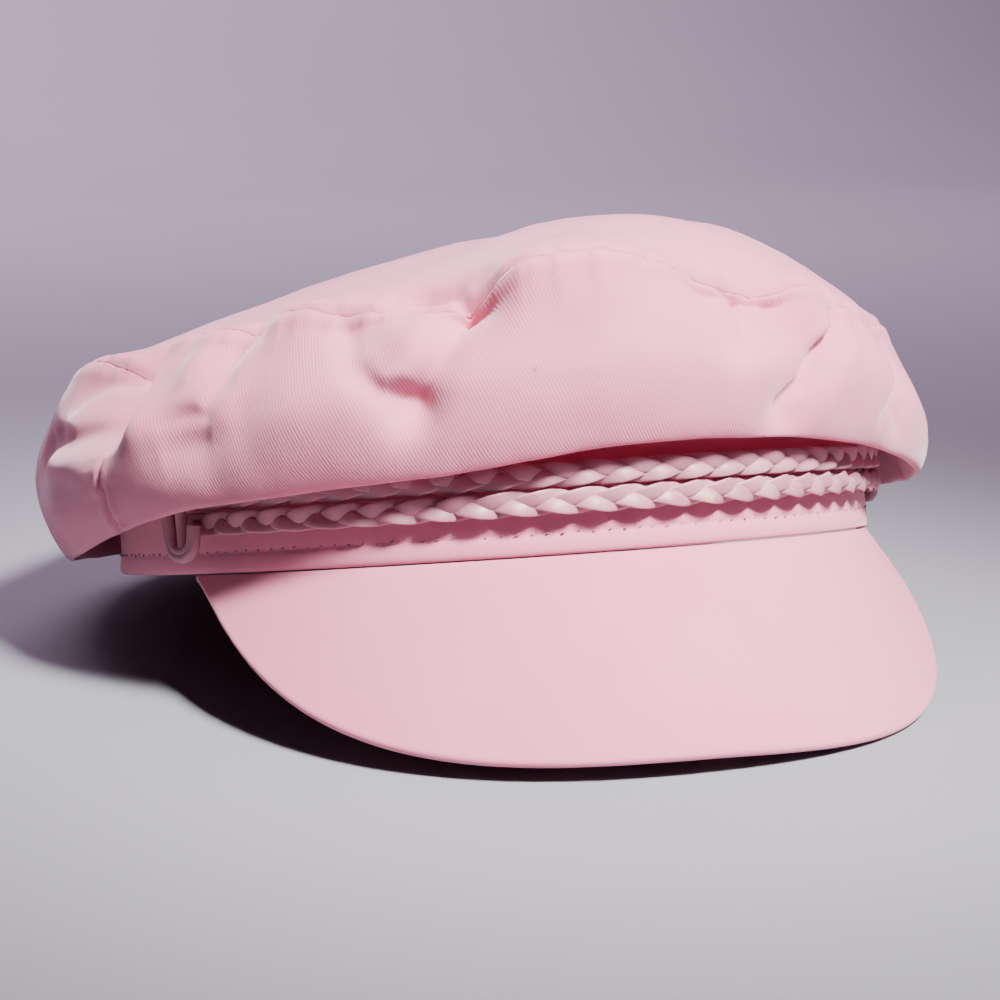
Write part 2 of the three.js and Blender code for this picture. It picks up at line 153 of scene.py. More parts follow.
# Finer creases, each along a few places, with half width and depth in millimetres. Above zero is
# a ridge.
CREASES = (
    ("pouch outline", ((-40, 1.0), (-39, 1.12), (-37.9, 1.35), (-36.4, 1.65), (-33, 1.97), (-29, 2.02),
                       (-25.8, 1.72), (-24, 1.4)), 2.8, -1.7),
    ("pouch lip", ((-35.4, 1.5), (-32.4, 1.8), (-29.2, 1.84), (-26.9, 1.58)), 3.2, 0.9),
    ("pucker slit", ((-24.6, 0.965), (-22.7, 1.02), (-23, 1.2), (-24.2, 1.5)), 1.3, -2.7),
    ("pucker shade", ((-30, 0.955), (-27, 0.96), (-24.2, 0.96)), 1.8, -1.7),
    ("pouch shadow", ((-33, 2.12), (-30, 2.2), (-27, 2.14)), 4.0, -1.1),
    ("temple outline", ((-54.4, 1.0), (-55.6, 1.22), (-53.6, 1.6), (-55, 1.86), (-60, 1.88)), 2.8, -2.2),
    ("temple lobe", ((-60, 1.2), (-59, 1.55)), 4.0, 1.5),
    ("temple dark", ((-61, 2.2), (-54, 2.12)), 5.0, -2.2),
    ("side edge", ((-68.5, 1.08), (-66.5, 1.4), (-65, 1.75)), 2.2, 1.8),
    ("deep dent", ((-91, 1.32), (-85, 1.14), (-79, 1.05)), 4.8, -5.4),
    ("side slack", ((-98, 1.62), (-84, 1.76), (-69, 1.88)), 2.6, -1.5),
    ("side roll", ((-96, 1.48), (-84, 1.56), (-74, 1.62)), 2.6, 1.4),
    ("rear pleat", ((-100, 1.98), (-88, 2.12), (-78, 2.3)), 3.0, -1.3),
    ("left slit", ((9.4, 1.02), (12.4, 1.08), (12.6, 1.4), (11.8, 1.75)), 1.5, -2.4),
    ("left slit lip", ((9.8, 1.2), (10, 1.5)), 1.8, 0.8),
    ("bowl wrinkle", ((16.8, 1.12), (19, 1.18), (20.6, 1.1)), 1.8, -1.7),
    ("bowl rim", ((27.2, 1.12), (26.8, 1.4), (23.2, 1.75)), 2.4, 1.3),
    ("long crease", ((32.2, 1.0), (30.6, 1.2), (27.4, 1.55), (23.6, 1.9), (20.4, 2.3), (16, 2.6)),
     2.0, -2.7),
    ("long ridge", ((34, 1.15), (31, 1.6), (27.6, 1.98)), 2.4, 1.3),
    ("far crease", ((49, 1.2), (44, 1.8), (36, 2.5)), 2.4, -2.1),
    ("left rear crease", ((66, 1.1), (62, 1.7), (58, 2.4)), 2.8, -1.0),
    ("back crease", ((118, 1.05), (122, 1.6), (118, 2.3)), 3.2, -1.2),
    ("back crease", ((150, 1.15), (156, 1.6), (170, 2.0)), 2.6, -1.2),
    ("back crease", ((-150, 1.1), (-148, 1.5), (-158, 2.2)), 3.0, -1.2),
    ("back crease", ((-124, 1.1), (-120, 1.6), (-126, 2.3)), 3.0, -1.1),
)

CORD_REACH = GAP + CORD_DIAMETER / 2
UPPER_CORD_HEIGHT = BAND_HEIGHT - CORD_DROP - CORD_DIAMETER / 2
LOWER_CORD_HEIGHT = UPPER_CORD_HEIGHT - CORD_DIAMETER - GAP
BAND_A = BAND_LENGTH / 2
BAND_B = BAND_WIDTH / 2
MM = 0.001


# The cap's forms, as in its source
def around(angle, reach, height):
    """Points on the ellipse round the band, at a distance out from it and at a height."""
    angle, reach, height = np.broadcast_arrays(*(np.asarray(n, float) for n in (angle, reach, height)))
    t = np.radians(angle)
    return np.stack([(BAND_B + reach) * np.sin(t), -(BAND_A + reach) * np.cos(t), height], -1)


def degrees_for(length, angle):
    """Degrees round the cap that a length along the band takes up."""
    t = math.radians(angle)
    return math.degrees(length / math.hypot(BAND_B * math.cos(t), BAND_A * math.sin(t)))


def through(a, b, c, d, t):
    """The smooth curve through four even steps, between the two in the middle."""
    return 0.5 * (2 * b + (c - a) * t + (2 * a - 5 * b + 4 * c - d) * t ** 2
                  + (3 * b - a - 3 * c + d) * t ** 3)


def smooth(x, low, high):
    """A soft step from 0 at low to 1 at high."""
    t = np.clip((x - low) / (high - low), 0, 1)
    return t * t * (3 - 2 * t)


def section_at(angle):
    """The crown's section at any angles, eased between the rows of the table."""
    count = len(SECTIONS)
    place = (angle - SECTIONS[0, 0]) / (360 / count)
    first = np.floor(place).astype(int)
    rows = [SECTIONS[(first + k) % count] for k in (-1, 0, 1, 2)]
    eased = through(*rows, (place - first)[..., None])
    return {name: eased[..., k] for k, name in enumerate(SECTION_COLUMNS)}


def side_point(angle, station):
    """Places on the side panels, where station 1 is the tip's seam and 5 the foot."""
    s = section_at(angle)
    same = np.ones_like(angle)
    reach = np.stack([-BAND_WALL * same, s["tuck"] * CROWN_REACH, s["fold"] * CROWN_REACH,
                      s["belly"] * CROWN_REACH, s["seam"] * CROWN_REACH], -1)
    height = np.stack([(BAND_HEIGHT + GAP) * same, (BAND_HEIGHT + GAP + CLOTH_WALL / 2) * same,
                       BAND_HEIGHT - s["drop"] * FOLD_DROP,
                       BAND_HEIGHT + s["belly_rise"] * CROWN_RISE,
                       BAND_HEIGHT + s["seam_rise"] * CROWN_RISE], -1)
    along = 5 - station
    k = np.clip(np.floor(along).astype(int), 0, 3)
    found = []
    for line in (reach, height):
        before = 2 * line[..., :1] - line[..., 1:2]
        beyond = 2 * line[..., -1:] - line[..., -2:-1]
        line = np.concatenate([before, line, beyond], -1)
        four = [np.take_along_axis(line, (k + n)[..., None], -1)[..., 0] for n in range(4)]
        found.append(through(*four, along - k))
    return around(angle, *found)


def tip_point(angle, station):
    """Places on the tip panel: station 0 is the crown's highest point and 1 the seam."""
    seam = side_point(angle, np.ones_like(angle))
    apex = np.array([APEX_LEFT, -APEX_FRONT, BAND_HEIGHT + CROWN_RISE])
    point = apex + (seam - apex) * station[..., None]
    share = np.maximum(station, 0) ** section_at(angle)["shoulder"]
    point[..., 2] = apex[2] + (seam[..., 2] - apex[2]) * share
    return point


def cloth_out(station):
    """Length of cloth from the crown's highest point out to a station."""
    marks = np.cumsum([0, TIP_RADIUS, PANEL_DEPTH / 2, PANEL_DEPTH / 2, TUCK_DEPTH / 2, TUCK_DEPTH / 2])
    return np.interp(station, range(6), marks)


def spread_out(angle, station):
    """Where places lie on the cloth when the crown is spread out flat round its highest point."""
    t = np.radians(angle)
    out = cloth_out(station)
    return np.stack([out * np.sin(t), -out * np.cos(t)], -1)


def away_from(place, start, end):
    """Distance of places from a straight run, and how far along it they are, from 0 to 1."""
    run = end - start
    share = np.clip((place - start) @ run / (run @ run), 0, 1)
    return np.linalg.norm(place - start - share[..., None] * run, axis=-1), share


def fold_lift(angle, station):
    """How far all the main folds together move the cloth outwards."""
    place = spread_out(angle, station)
    lift = np.zeros(place.shape[:-1])
    for _, start, end, width, depth in FOLDS:
        away, _ = away_from(place, spread_out(*start), spread_out(*end))
        lift += depth * FOLD_DEPTH * np.exp(-(away / (width * FOLD_WIDTH)) ** 2)
    return lift


def fold_way(angle, station):
    """The way that folds move the cloth: up on the tip, out on the side, down under the fold."""
    tilt = np.radians(90 * (1 - smooth(station, *TURN_STATIONS))
                      - UNDER_TILT * smooth(station, *UNDER_STATIONS))
    t = np.radians(angle)
    level = np.stack([np.sin(t) / BAND_B, -np.cos(t) / BAND_A], -1)
    level /= np.linalg.norm(level, axis=-1, keepdims=True)
    return np.concatenate([level * np.cos(tilt)[..., None], np.sin(tilt)[..., None]], -1)


def crown_point(angle, station):
    """The crown's outer surface, with its main folds."""
    angle, station = np.broadcast_arrays(np.asarray(angle, float), np.asarray(station, float))
    point = np.where((station < 1)[..., None], tip_point(angle, station), side_point(angle, station))
    lift = fold_lift(angle, station) * (1 - smooth(station, *FADE_STATIONS))
    return point + fold_way(angle, station) * lift[..., None]


def normal_at(surface, u, v, du, dv, low, high):
    """Outward normal of a surface given as a function of two numbers."""
    across = surface(u + du, v) - surface(u - du, v)
    down = surface(u, np.minimum(v + dv, high)) - surface(u, np.maximum(v - dv, low))
    normal = np.cross(down, across)
    return normal / np.linalg.norm(normal, axis=-1, keepdims=True)


def seam_mitre(angle):
    """From the tip's seam in to the cloth's inner face, shared by both panels."""
    near = np.full_like(angle, 0.97)
    past = np.full_like(angle, 1.1)
    tip = normal_at(crown_point, angle, near, 1.5, 0.03, 0.9, 0.999)
    side = normal_at(crown_point, angle, past, 1.5, 0.1, 1, 5)
    mitre = tip + side
    mitre /= np.linalg.norm(mitre, axis=-1, keepdims=True)
    return -CLOTH_WALL / np.maximum((mitre * side).sum(-1, keepdims=True), 0.7) * mitre


def peak_point(along, out):
    """The peak's upper face: along is from -1 to 1 and out from 0 to 1."""
    along, out = np.broadcast_arrays(np.asarray(along, float), np.asarray(out, float))
    end = np.abs(along)
    angle = PEAK_HALF_ANGLE * along
    t = np.radians(angle)
    heading = np.arctan2(np.sin(t) / BAND_B, np.cos(t) / BAND_A) + math.radians(PEAK_LEAN) * along
    slope = np.radians(PEAK_SLOPE + (PEAK_END_SLOPE - PEAK_SLOPE) * end ** 4 + PEAK_TWIST * along)
    depth = out * PEAK_DEPTH * (1 - end ** PEAK_CORNER) ** PEAK_EASE
    depth = depth * (1 + PEAK_FLARE * end ** 2 + PEAK_SKEW * along)
    run = np.stack([np.sin(heading) * np.cos(slope), -np.cos(heading) * np.cos(slope), -np.sin(slope)], -1)
    return around(angle, 0, -GAP) + run * depth[..., None]


def peak_normal(along, out):
    """The upper face's outward normal, taken a little short of the peak's ends and its joint."""
    slim = np.clip(along, 0.01 - PEAK_END_SHARE, PEAK_END_SHARE - 0.01)
    return normal_at(peak_point, slim, np.maximum(out, 0.05), 0.01, 0.05, 0, 1)


def peak_inside(along, out):
    """The peak's underside."""
    return peak_point(along, out) - PEAK_WALL * peak_normal(along, out)


# How the cap stands
def resting_lean():
    """The lean, in radians, that brings the peak's edge and the back of the band to one level."""
    edge = peak_inside(np.linspace(-PEAK_END_SHARE, PEAK_END_SHARE, 37), np.ones(37))
    back = around(180, -BAND_WALL / 2, HEM_PRESS)
    low, high = 0, math.pi / 4
    for _ in range(50):
        lean = (low + high) / 2
        up = np.array([0, -math.sin(lean), math.cos(lean)])
        if (edge @ up).min() < back @ up:
            low = lean
        else:
            high = lean
    return low


LEAN = resting_lean()
TURN = np.array(Matrix.Rotation(-LEAN, 3, "X"))


def resting_shift():
    """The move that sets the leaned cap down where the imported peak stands."""
    along, out = np.meshgrid(np.linspace(-PEAK_END_SHARE, PEAK_END_SHARE, 37), np.linspace(0, 1, 7))
    drawn = np.concatenate([peak_point(along, out), peak_inside(along, out)]).reshape(-1, 3) @ TURN.T
    return np.array(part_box("peak")[0]) - drawn.min(0)


SHIFT = resting_shift()


def stand(points):
    """Points in the cap's own frame, leaned back and set down on the floor."""
    return np.asarray(points) @ TURN.T + SHIFT


# The camera, at the photograph's viewpoint
EYE = Vector((-0.1972, -0.5193, 0.0129))
AIM = Vector((0.0006, -0.0061, 0.0120))
ROLL = 3.76
LENS = 79.2
SENSOR = 36


def set_camera():
    """The camera, placed in the cap's own frame and then moved as the cap is."""
    ahead = (AIM - EYE).normalized()
    across = Matrix.Rotation(math.radians(ROLL), 3, ahead) @ ahead.cross(Vector((0, 0, 1))).normalized()
    above = across.cross(ahead)
    own = Matrix((across, above, -ahead)).transposed().to_4x4()
    own.translation = EYE
    placing = Matrix(TURN.tolist()).to_4x4()
    placing.translation = Vector(SHIFT)
    camera = bpy.data.objects.new("camera", bpy.data.cameras.new("camera"))
    camera.data.lens = LENS
    camera.data.sensor_width = SENSOR
    camera.matrix_world = placing @ own
    bpy.context.scene.collection.objects.link(camera)
    bpy.context.scene.camera = camera


set_camera()


# Node trees
class Amount:
    """A number, colour or vector socket in a node tree that Python's operators work on."""

    def __init__(self, tree, socket):
        self.tree = tree
        self.socket = socket

    def maths(self, operation, *values):
        return self.tree.node("ShaderNodeMath", {"operation": operation}, dict(enumerate(values)))

    def __add__(self, other):
        return self.maths("ADD", self, other)

    def __radd__(self, other):
        return self.maths("ADD", other, self)

    def __sub__(self, other):
        return self.maths("SUBTRACT", self, other)

    def __rsub__(self, other):
        return self.maths("SUBTRACT", other, self)

    def __mul__(self, other):
        return self.maths("MULTIPLY", self, other)

    def __rmul__(self, other):
        return self.maths("MULTIPLY", other, self)

    def __truediv__(self, other):
        return self.maths("DIVIDE", self, other)

    def __rtruediv__(self, other):
        return self.maths("DIVIDE", other, self)

    def sine(self):
        return self.maths("SINE", self)


class Nodes:
    """A node tree, built by one call for each node."""

    def __init__(self, tree):
        self.tree = tree
        tree.nodes.clear()

    def node(self, kind, settings=None, values=None, output=0):
        """A node with its settings and its inputs, given as values or amounts, and one output."""
        made = self.tree.nodes.new(kind)
        for name, value in (settings or {}).items():
            if name == "stops":
                self.set_stops(made.color_ramp, value)
            else:
                setattr(made, name, value)
        for name, value in (values or {}).items():
            if isinstance(value, Amount):
                self.tree.links.new(value.socket, made.inputs[name])
            else:
                made.inputs[name].default_value = value
        return Amount(self, made.outputs[output])

    def set_stops(self, ramp, stops):
        """A ramp's stops, each a place and a grey level. A new ramp has two."""
        for place, level in stops[2:]:
            ramp.elements.new(place)
        for element, (place, level) in zip(ramp.elements, sorted(stops)):
            element.position = place
            element.color = (level, level, level, 1)

    def ramp(self, value, stops):
        return self.node("ShaderNodeValToRGB", {"stops": stops}, {0: value})

    def blend(self, share, first, second):
        """A colour between two."""
        return self.node("ShaderNodeMix", {"data_type": "RGBA"}, {0: share, 6: first, 7: second}, output=2)

    def spot(self, where, place, radius, first, tint):
        """A colour with a small soft-edged spot of another at a place."""
        ends = {0: where, 1: tuple(place)}
        apart = self.node("ShaderNodeVectorMath", {"operation": "DISTANCE"}, ends, output=1)
        return self.blend(self.ramp(apart / radius, [(0.45, 0.8), (1.0, 0.0)]), first, tint)

    def noise(self, where, scale, detail=2.0, roughness=0.5):
        values = {"Vector": where, "Scale": scale, "Detail": detail, "Roughness": roughness}
        return self.node("ShaderNodeTexNoise", None, values)


def paint(name, sheen=0.0, **shader_sockets):
    """A material with a shader whose unchanging sockets are set, and the tree to go on with."""
    material = bpy.data.materials.new(name)
    material.use_nodes = True
    nodes = Nodes(material.node_tree)
    shader = nodes.tree.nodes.new("ShaderNodeBsdfPrincipled")
    shader.inputs["Sheen Weight"].default_value = sheen
    shader.inputs["Sheen Roughness"].default_value = 0.5
    for socket, value in shader_sockets.items():
        shader.inputs[socket.replace("_", " ").title().replace("Ior", "IOR")].default_value = value
    finish = nodes.tree.nodes.new("ShaderNodeOutputMaterial")
    nodes.tree.links.new(shader.outputs[0], finish.inputs[0])
    return material, nodes, shader


def feed(nodes, shader, **links):
    """Amounts linked to a shader's sockets by name."""
    for socket, value in links.items():
        nodes.tree.links.new(value.socket, shader.inputs[socket.replace("_", " ").title()])


# Materials
TWILL_PITCH = 0.00068
TWILL_SLANT = 20
THREAD_PITCH = 0.0005

# Two small marks: a dark speck on the crown and a patch worn tan on the lower plait.
SPECK_AT = (-15.9, 1.99)
SPECK_RADIUS = 0.0007
RUB_ANGLE = 7
RUB_RADIUS = 0.0022
RUB_OUT = 0.002
RUB_BELOW = 0.001


def colour(red, green, blue):
    return (red, green, blue, 1)


SPECK_TINT = colour(0.42, 0.12, 0.15)
RUB_TINT = colour(0.66, 0.36, 0.25)


def twill(name, base, shade, relief):
    """Cotton twill: fine slanted ribs of warp floats, a soft nap, and uneven dye."""
    material, nodes, shader = paint(name, sheen=0.35, roughness=0.9, specular_ior_level=0.25)
    cloth = nodes.node("ShaderNodeUVMap", {"uv_map": "cloth"})
    across = nodes.node("ShaderNodeSeparateXYZ", None, {0: cloth})
    down = Amount(nodes, across.socket.node.outputs[1])
    body = nodes.node("ShaderNodeTexCoord", output=3)
    wander = nodes.noise(body, 60.0, 3.0) - 0.5
    cosine, sine = math.cos(math.radians(TWILL_SLANT)), math.sin(math.radians(TWILL_SLANT))
    rib_place = across * (cosine / TWILL_PITCH) - down * (sine / TWILL_PITCH) + wander * 1.2
    float_place = across * (sine / THREAD_PITCH) + down * (cosine / THREAD_PITCH)
    rib = (rib_place * (2 * math.pi)).sine()
    floats = ((float_place + rib_place * 0.5) * (2 * math.pi)).sine()
    slub = nodes.noise(body, 900.0, 2.0, 0.7) - 0.5
    wear_and_rim_highlight = nodes.noise(body, 260.0, 2.0)
    weave = rib * wear_and_rim_highlight + floats * (rib * 0.1 + 0.15) + slub * 1.1
    bump = nodes.node("ShaderNodeBump", None, {"Strength": 0.55, "Distance": relief, "Height": weave})
    dye = nodes.noise(body, 22.0, 4.0, 0.6)
    tone = nodes.ramp(dye + weave * 0.11, [(0.25, 0.0), (0.75, 1.0)])
    coat = nodes.blend(tone, shade, base)
    speck = stand(crown_point(*SPECK_AT))
    feed(nodes, shader, base_color=nodes.spot(body, speck, SPECK_RADIUS, coat, SPECK_TINT), normal=bump,
         roughness=0.86 + dye * 0.1)
    return material


def leather(name, base, shade, rim_highlight_tint):
    """Soft dyed leather: satin, with a fine grain, and a painted highlight that makes its sharp edges
    paler.
    """
    material, nodes, shader = paint(name, sheen=0.05, roughness=0.42, specular_ior_level=0.4)
    body = nodes.node("ShaderNodeTexCoord", output=3)
    grain = nodes.node("ShaderNodeTexVoronoi", {"feature": "SMOOTH_F1"}, {"Vector": body, "Scale": 1500.0})
    fine = nodes.noise(body, 700.0, 3.0, 0.6)
    cloudy = nodes.noise(body, 90.0, 3.0, 0.6)
    height = grain * 0.5 + fine * 0.8
    bump = nodes.node("ShaderNodeBump", None, {"Strength": 0.35, "Distance": 0.00009, "Height": height})
    edge = nodes.node("ShaderNodeNewGeometry", output=7)
    tone = nodes.ramp(cloudy, [(0.3, 0.0), (0.7, 1.0)])
    # Painted highlight: the sharp edges are made paler in colour, standing in for the glints along the
    # strap rims.
    wear_and_rim_highlight = nodes.ramp(edge + fine * 0.04, [(0.56, 0.0), (0.68, 1.0)])
    coat = nodes.blend(tone, shade, base)
    patch = stand(around(RUB_ANGLE, CORD_REACH + RUB_OUT, LOWER_CORD_HEIGHT - RUB_BELOW))
    coat = nodes.spot(body, patch, RUB_RADIUS, nodes.blend(wear_and_rim_highlight * 0.6, coat, rim_highlight_tint), RUB_TINT)
    feed(nodes, shader, base_color=coat, normal=bump, roughness=0.36 + cloudy * 0.16)
    return material


def thread(name, base):
    """Sewing cotton: twisted plies."""
    material, nodes, shader = paint(name, sheen=0.2, roughness=0.75)
    body = nodes.node("ShaderNodeTexCoord", output=3)
    plies = nodes.node("ShaderNodeTexWave", {"bands_direction": "DIAGONAL"},
                       {"Vector": body, "Scale": 700.0, "Distortion": 1.0})
    bump = nodes.node("ShaderNodeBump", None, {"Strength": 0.5, "Distance": 0.0001, "Height": plies})
    dark = tuple(0.75 * part for part in base[:3]) + (1,)
    feed(nodes, shader, base_color=nodes.blend(plies, dark, base), normal=bump)
    return material


PINK = colour(0.70, 0.215, 0.315)
PINK_SHADE = colour(0.65, 0.175, 0.275)
BAND_PINK = colour(0.70, 0.205, 0.305)
HIDE_PINK = colour(0.52, 0.225, 0.28)

crown_cloth = twill("crown_twill", PINK, PINK_SHADE, relief=0.00006)
band_cloth = twill("band_twill", BAND_PINK, PINK_SHADE, relief=0.00003)
peak_cloth = twill("peak_twill", BAND_PINK, PINK_SHADE, relief=0.000015)
# The plait leather's last colour is the painted highlight on its sharp edges.
plait_hide = leather("plait_leather", HIDE_PINK, colour(0.38, 0.14, 0.19), colour(0.80, 0.50, 0.54))
stitch_cotton = thread("stitch_thread", colour(0.45, 0.16, 0.21))


# Meshes
def closed_wall(name, outer, inner, uv, material, ring=False, from_point=False):
    """A closed cloth wall between an outer and an inner grid of points [column, row].

    A ring's last column lies on its first, so that the cloth's map runs on to the end.
    """
    columns, rows = outer.shape[:2]
    points = stand(np.concatenate([outer.reshape(-1, 3), inner.reshape(-1, 3)]))
    points[:, 2] = np.maximum(points[:, 2], 0)
    front = np.arange(columns * rows).reshape(columns, rows)
    back = front + columns * rows
    here = np.arange(columns - 1)
    then = here + 1

    def quads(a, b, c, d):
        return np.stack([a, b, c, d], -1).reshape(-1, 4)

    faces = [quads(front[here, :-1], front[here, 1:], front[then, 1:], front[then, :-1]),
             quads(back[here, :-1], back[then, :-1], back[then, 1:], back[here, 1:]),
             quads(front[here, -1], back[here, -1], back[then, -1], front[then, -1])]
    if not from_point:
        faces.append(quads(front[here, 0], front[then, 0], back[then, 0], back[here, 0]))
    if not ring:
        faces.append(quads(front[0, :-1], back[0, :-1], back[0, 1:], front[0, 1:]))
        faces.append(quads(front[-1, :-1], front[-1, 1:], back[-1, 1:], back[-1, :-1]))
    mesh = bpy.data.meshes.new(name)
    faces = np.concatenate(faces)
    mesh.from_pydata(points.tolist(), [], faces.tolist())
    layer = mesh.uv_layers.new(name="cloth")
    flat = np.concatenate([uv.reshape(-1, 2)] * 2)
    layer.data.foreach_set("uv", flat[faces.ravel()].astype(np.float32).ravel())
    return finish_mesh(name, mesh, material)


def finish_mesh(name, mesh, material):
    """A smooth-shaded object for a mesh, with doubled points merged and its material set."""
    shape = bmesh.new()
    shape.from_mesh(mesh)
    bmesh.ops.remove_doubles(shape, verts=shape.verts, dist=1e-6)
    bmesh.ops.dissolve_degenerate(shape, edges=shape.edges, dist=1e-7)
    shape.to_mesh(mesh)
    shape.free()
    mesh.polygons.foreach_set("use_smooth", [True] * len(mesh.polygons))
    mesh.materials.clear()
    mesh.materials.append(material)
    piece = bpy.data.objects.new(name, mesh)
    bpy.context.scene.collection.objects.link(piece)
    return piece


# Crown
SEAM_GROOVE = 0.0004
SEAM_GROOVE_WIDTH = 0.0008
ALLOWANCE = 0.0042
ALLOWANCE_LIFT = 0.00045
PUCKER_PITCH = 0.0075
PUCKER_DEPTH = 0.00035
PUCKER_REACH = 0.007
ALLOWANCE_WAVE = 0.011
SLACK_DEPTH = 0.0007
# The slack's broad and finer unevenness, in turns for each metre.
SLACK_BROAD = 45
SLACK_FINE = 110
SLACK_FINE_SHARE = 0.45
# Where the side seams start below the tip's seam, and where all fine relief dies away.
SIDE_SEAM_START = (1.0, 1.04)
RELIEF_FADE_STATIONS = (3.0, 3.8)


def ripple(x):
    """An uneven wave of about one step in two pi."""
    return (np.sin(x) + 0.6 * np.sin(1.73 * x + 1.3) + 0.4 * np.sin(2.9 * x + 4.1)) / 2


def seam_relief(away, along):
    """A sewn seam: a groove between two soft ridges over the turned edges, drawn up in puckers."""
    groove = -SEAM_GROOVE * np.exp(-(away / SEAM_GROOVE_WIDTH) ** 2)
    ridge = ALLOWANCE_LIFT * np.exp(-((np.abs(away) - ALLOWANCE / 2) / (ALLOWANCE / 3)) ** 2)
    pucker = PUCKER_DEPTH * ripple(along / PUCKER_PITCH * 2 * math.pi + np.sign(away) * 0.8)
    ridge = ridge * (1 + 0.5 * ripple(along / ALLOWANCE_WAVE))
    return groove + ridge + pucker * np.exp(-(away / PUCKER_REACH) ** 2)


def crease_relief(angle, station):
    """The finer creases: narrow, and dying away at both ends."""
    place = spread_out(angle, station)
    relief = np.zeros(place.shape[:-1])
    for _, route, width, depth in CREASES:
        corners = [spread_out(*corner) for corner in route]
        lengths = [np.linalg.norm(b - a) for a, b in zip(corners, corners[1:])]
        nearest = np.full(relief.shape, np.inf)
        share = np.zeros(relief.shape)
        passed = 0
        for a, b, length in zip(corners, corners[1:], lengths):
            away, part = away_from(place, a, b)
            closer = away < nearest
            nearest = np.where(closer, away, nearest)
            share = np.where(closer, (passed + part * length) / sum(lengths), share)
            passed += length
        taper = np.sin(np.pi * np.clip(share * 0.84 + 0.08, 0, 1)) ** 0.8
        relief += depth * MM * taper * np.exp(-(nearest / (width * MM)) ** 2)
    return relief


def slack_relief(points):
    """The cloth's broad unevenness."""
    flat = points.reshape(-1, 3)
    wave = [noise.noise(Vector(p) * SLACK_BROAD)
            + SLACK_FINE_SHARE * noise.noise(Vector(p) * SLACK_FINE) for p in flat]
    return SLACK_DEPTH * np.array(wave).reshape(points.shape[:-1])


def crown_relief(angle, station, points):
    """The seams, creases and slack together, dying away in the tuck."""
    seam_length = np.radians(angle) * (TIP_RADIUS * 1.05)
    tip = seam_relief(cloth_out(station) - TIP_RADIUS, seam_length)
    side = np.zeros_like(tip)
    for edge in (-SIDE_SEAM, SIDE_SEAM):
        apart = (angle - edge + 180) % 360 - 180
        side += seam_relief(np.radians(apart) * (BAND_B + CROWN_REACH), cloth_out(station))
    side *= smooth(station, *SIDE_SEAM_START)
    fade = 1 - smooth(station, *RELIEF_FADE_STATIONS)
    return (tip + side + crease_relief(angle, station) + slack_relief(points)) * fade


def crown_grids(angles, stations):
    """The places, the plain surface, the surface with its relief, and how far dents sink in."""
    angle, station = np.meshgrid(angles, stations, indexing="ij")
    base = crown_point(angle, station)
    relief = crown_relief(angle, station, base)[..., None]
    way = fold_way(angle, station)
    return angle, station, base, base + way * relief, way * np.minimum(relief, 0)


def tip_panel():
    """The oval on top, with finer rows towards its seam."""
    angles = np.linspace(-180, 180, 641)
    stations = np.concatenate([np.linspace(0, 0.9, 46)[:-1], np.linspace(0.9, 1, 22)])
    angle, station, base, outer, sunk = crown_grids(angles, stations)
    normal = normal_at(crown_point, angle, station, 1.5, 0.06, 0.001, 0.999)
    normal[:, 0] = (0, 0, 1)
    inner = base - CLOTH_WALL * normal + sunk
    inner[:, -1] = base[:, -1] + seam_mitre(angles) + sunk[:, -1]
    return closed_wall("tip_panel", outer, inner, spread_out(angle, station), crown_cloth,
                       ring=True, from_point=True)


def side_panel(name, start, end, columns):
    """A panel from one side seam to the other, with finer columns and rows at its edges."""
    middle = np.linspace(start, end, columns)
    ease = np.array([0.15, 0.35, 0.6])
    angles = np.concatenate([[start], start + ease, middle[2:-2], end - ease[::-1], [end]])
    stations = np.concatenate([1 + np.linspace(0, 0.25, 14)[:-1], np.linspace(1.25, 3.2, 58)[:-1],
                               np.linspace(3.2, 5, 12)])
    angle, station, base, outer, sunk = crown_grids(angles, stations)
    inner = base - CLOTH_WALL * normal_at(crown_point, angle, station, 1.5, 0.06, 1, 5) + sunk
    inner[:, 0] = base[:, 0] + seam_mitre(angles) + sunk[:, 0]
    inner[:, -1] = around(angles, -BAND_WALL, BAND_HEIGHT + GAP + CLOTH_WALL)
    flat = np.stack([np.radians(angle - (start + end) / 2) * (BAND_B + CROWN_REACH * 0.6),
                     cloth_out(station)], -1)
    return closed_wall(name, outer, inner, flat, crown_cloth)


tip = tip_panel()
front_panel = side_panel("front_side_panel", -SIDE_SEAM, SIDE_SEAM, 340)
back_panel = side_panel("back_side_panel", SIDE_SEAM, 360 - SIDE_SEAM, 430)


# Head band
STITCH_HEIGHT = 0.0046
STITCH_PITCH = 0.0033
STITCH_LENGTH = 0.0014
STITCH_WIDTH = 0.0005
STITCH_SLANT = 0.5  # radians
STITCH_PROUD = 0.0002
STITCH_PULL = 0.00009
STITCH_PULL_REACH = 0.0012
HEM_WAVE = 0.00016
HEM_WAVE_PITCH = 0.013
HEM_WAVE_HEIGHT = 0.0062
HEM_WAVE_REACH = 0.0035

# The band's outside, as [reach, height] from the hem's lower edge up: the rolled hem, the groove
# that the stitches draw in, and the plain cloth above it.
BAND_PROFILE = (
    (-0.0004, 0.0), (0.0002, 0.0001), (0.0005, 0.0005), (0.00068, 0.0011), (0.0007, 0.0018),
    (0.00062, 0.0026), (0.0005, 0.0033), (0.00034, 0.0039), (0.00012, 0.0043), (0.00008, 0.0046),
    (0.00014, 0.0050), (0.00024, 0.0056), (0.00026, 0.0066), (0.0002, 0.0085), (0.0001, 0.0115),
    (0.00008, 0.015), (0.00006, 0.019), (0.0, 0.023), (0.0, 0.0262), (-0.0002, 0.0275),
    (-0.0007, 0.028),
)
BAND_INSIDE = ((-0.0015, 0.028), (-0.002, 0.0276), (-0.0022, 0.0265), (-0.0022, 0.014),
               (-0.0022, 0.0016), (-0.0019, 0.0004), (-0.0013, 0.0))


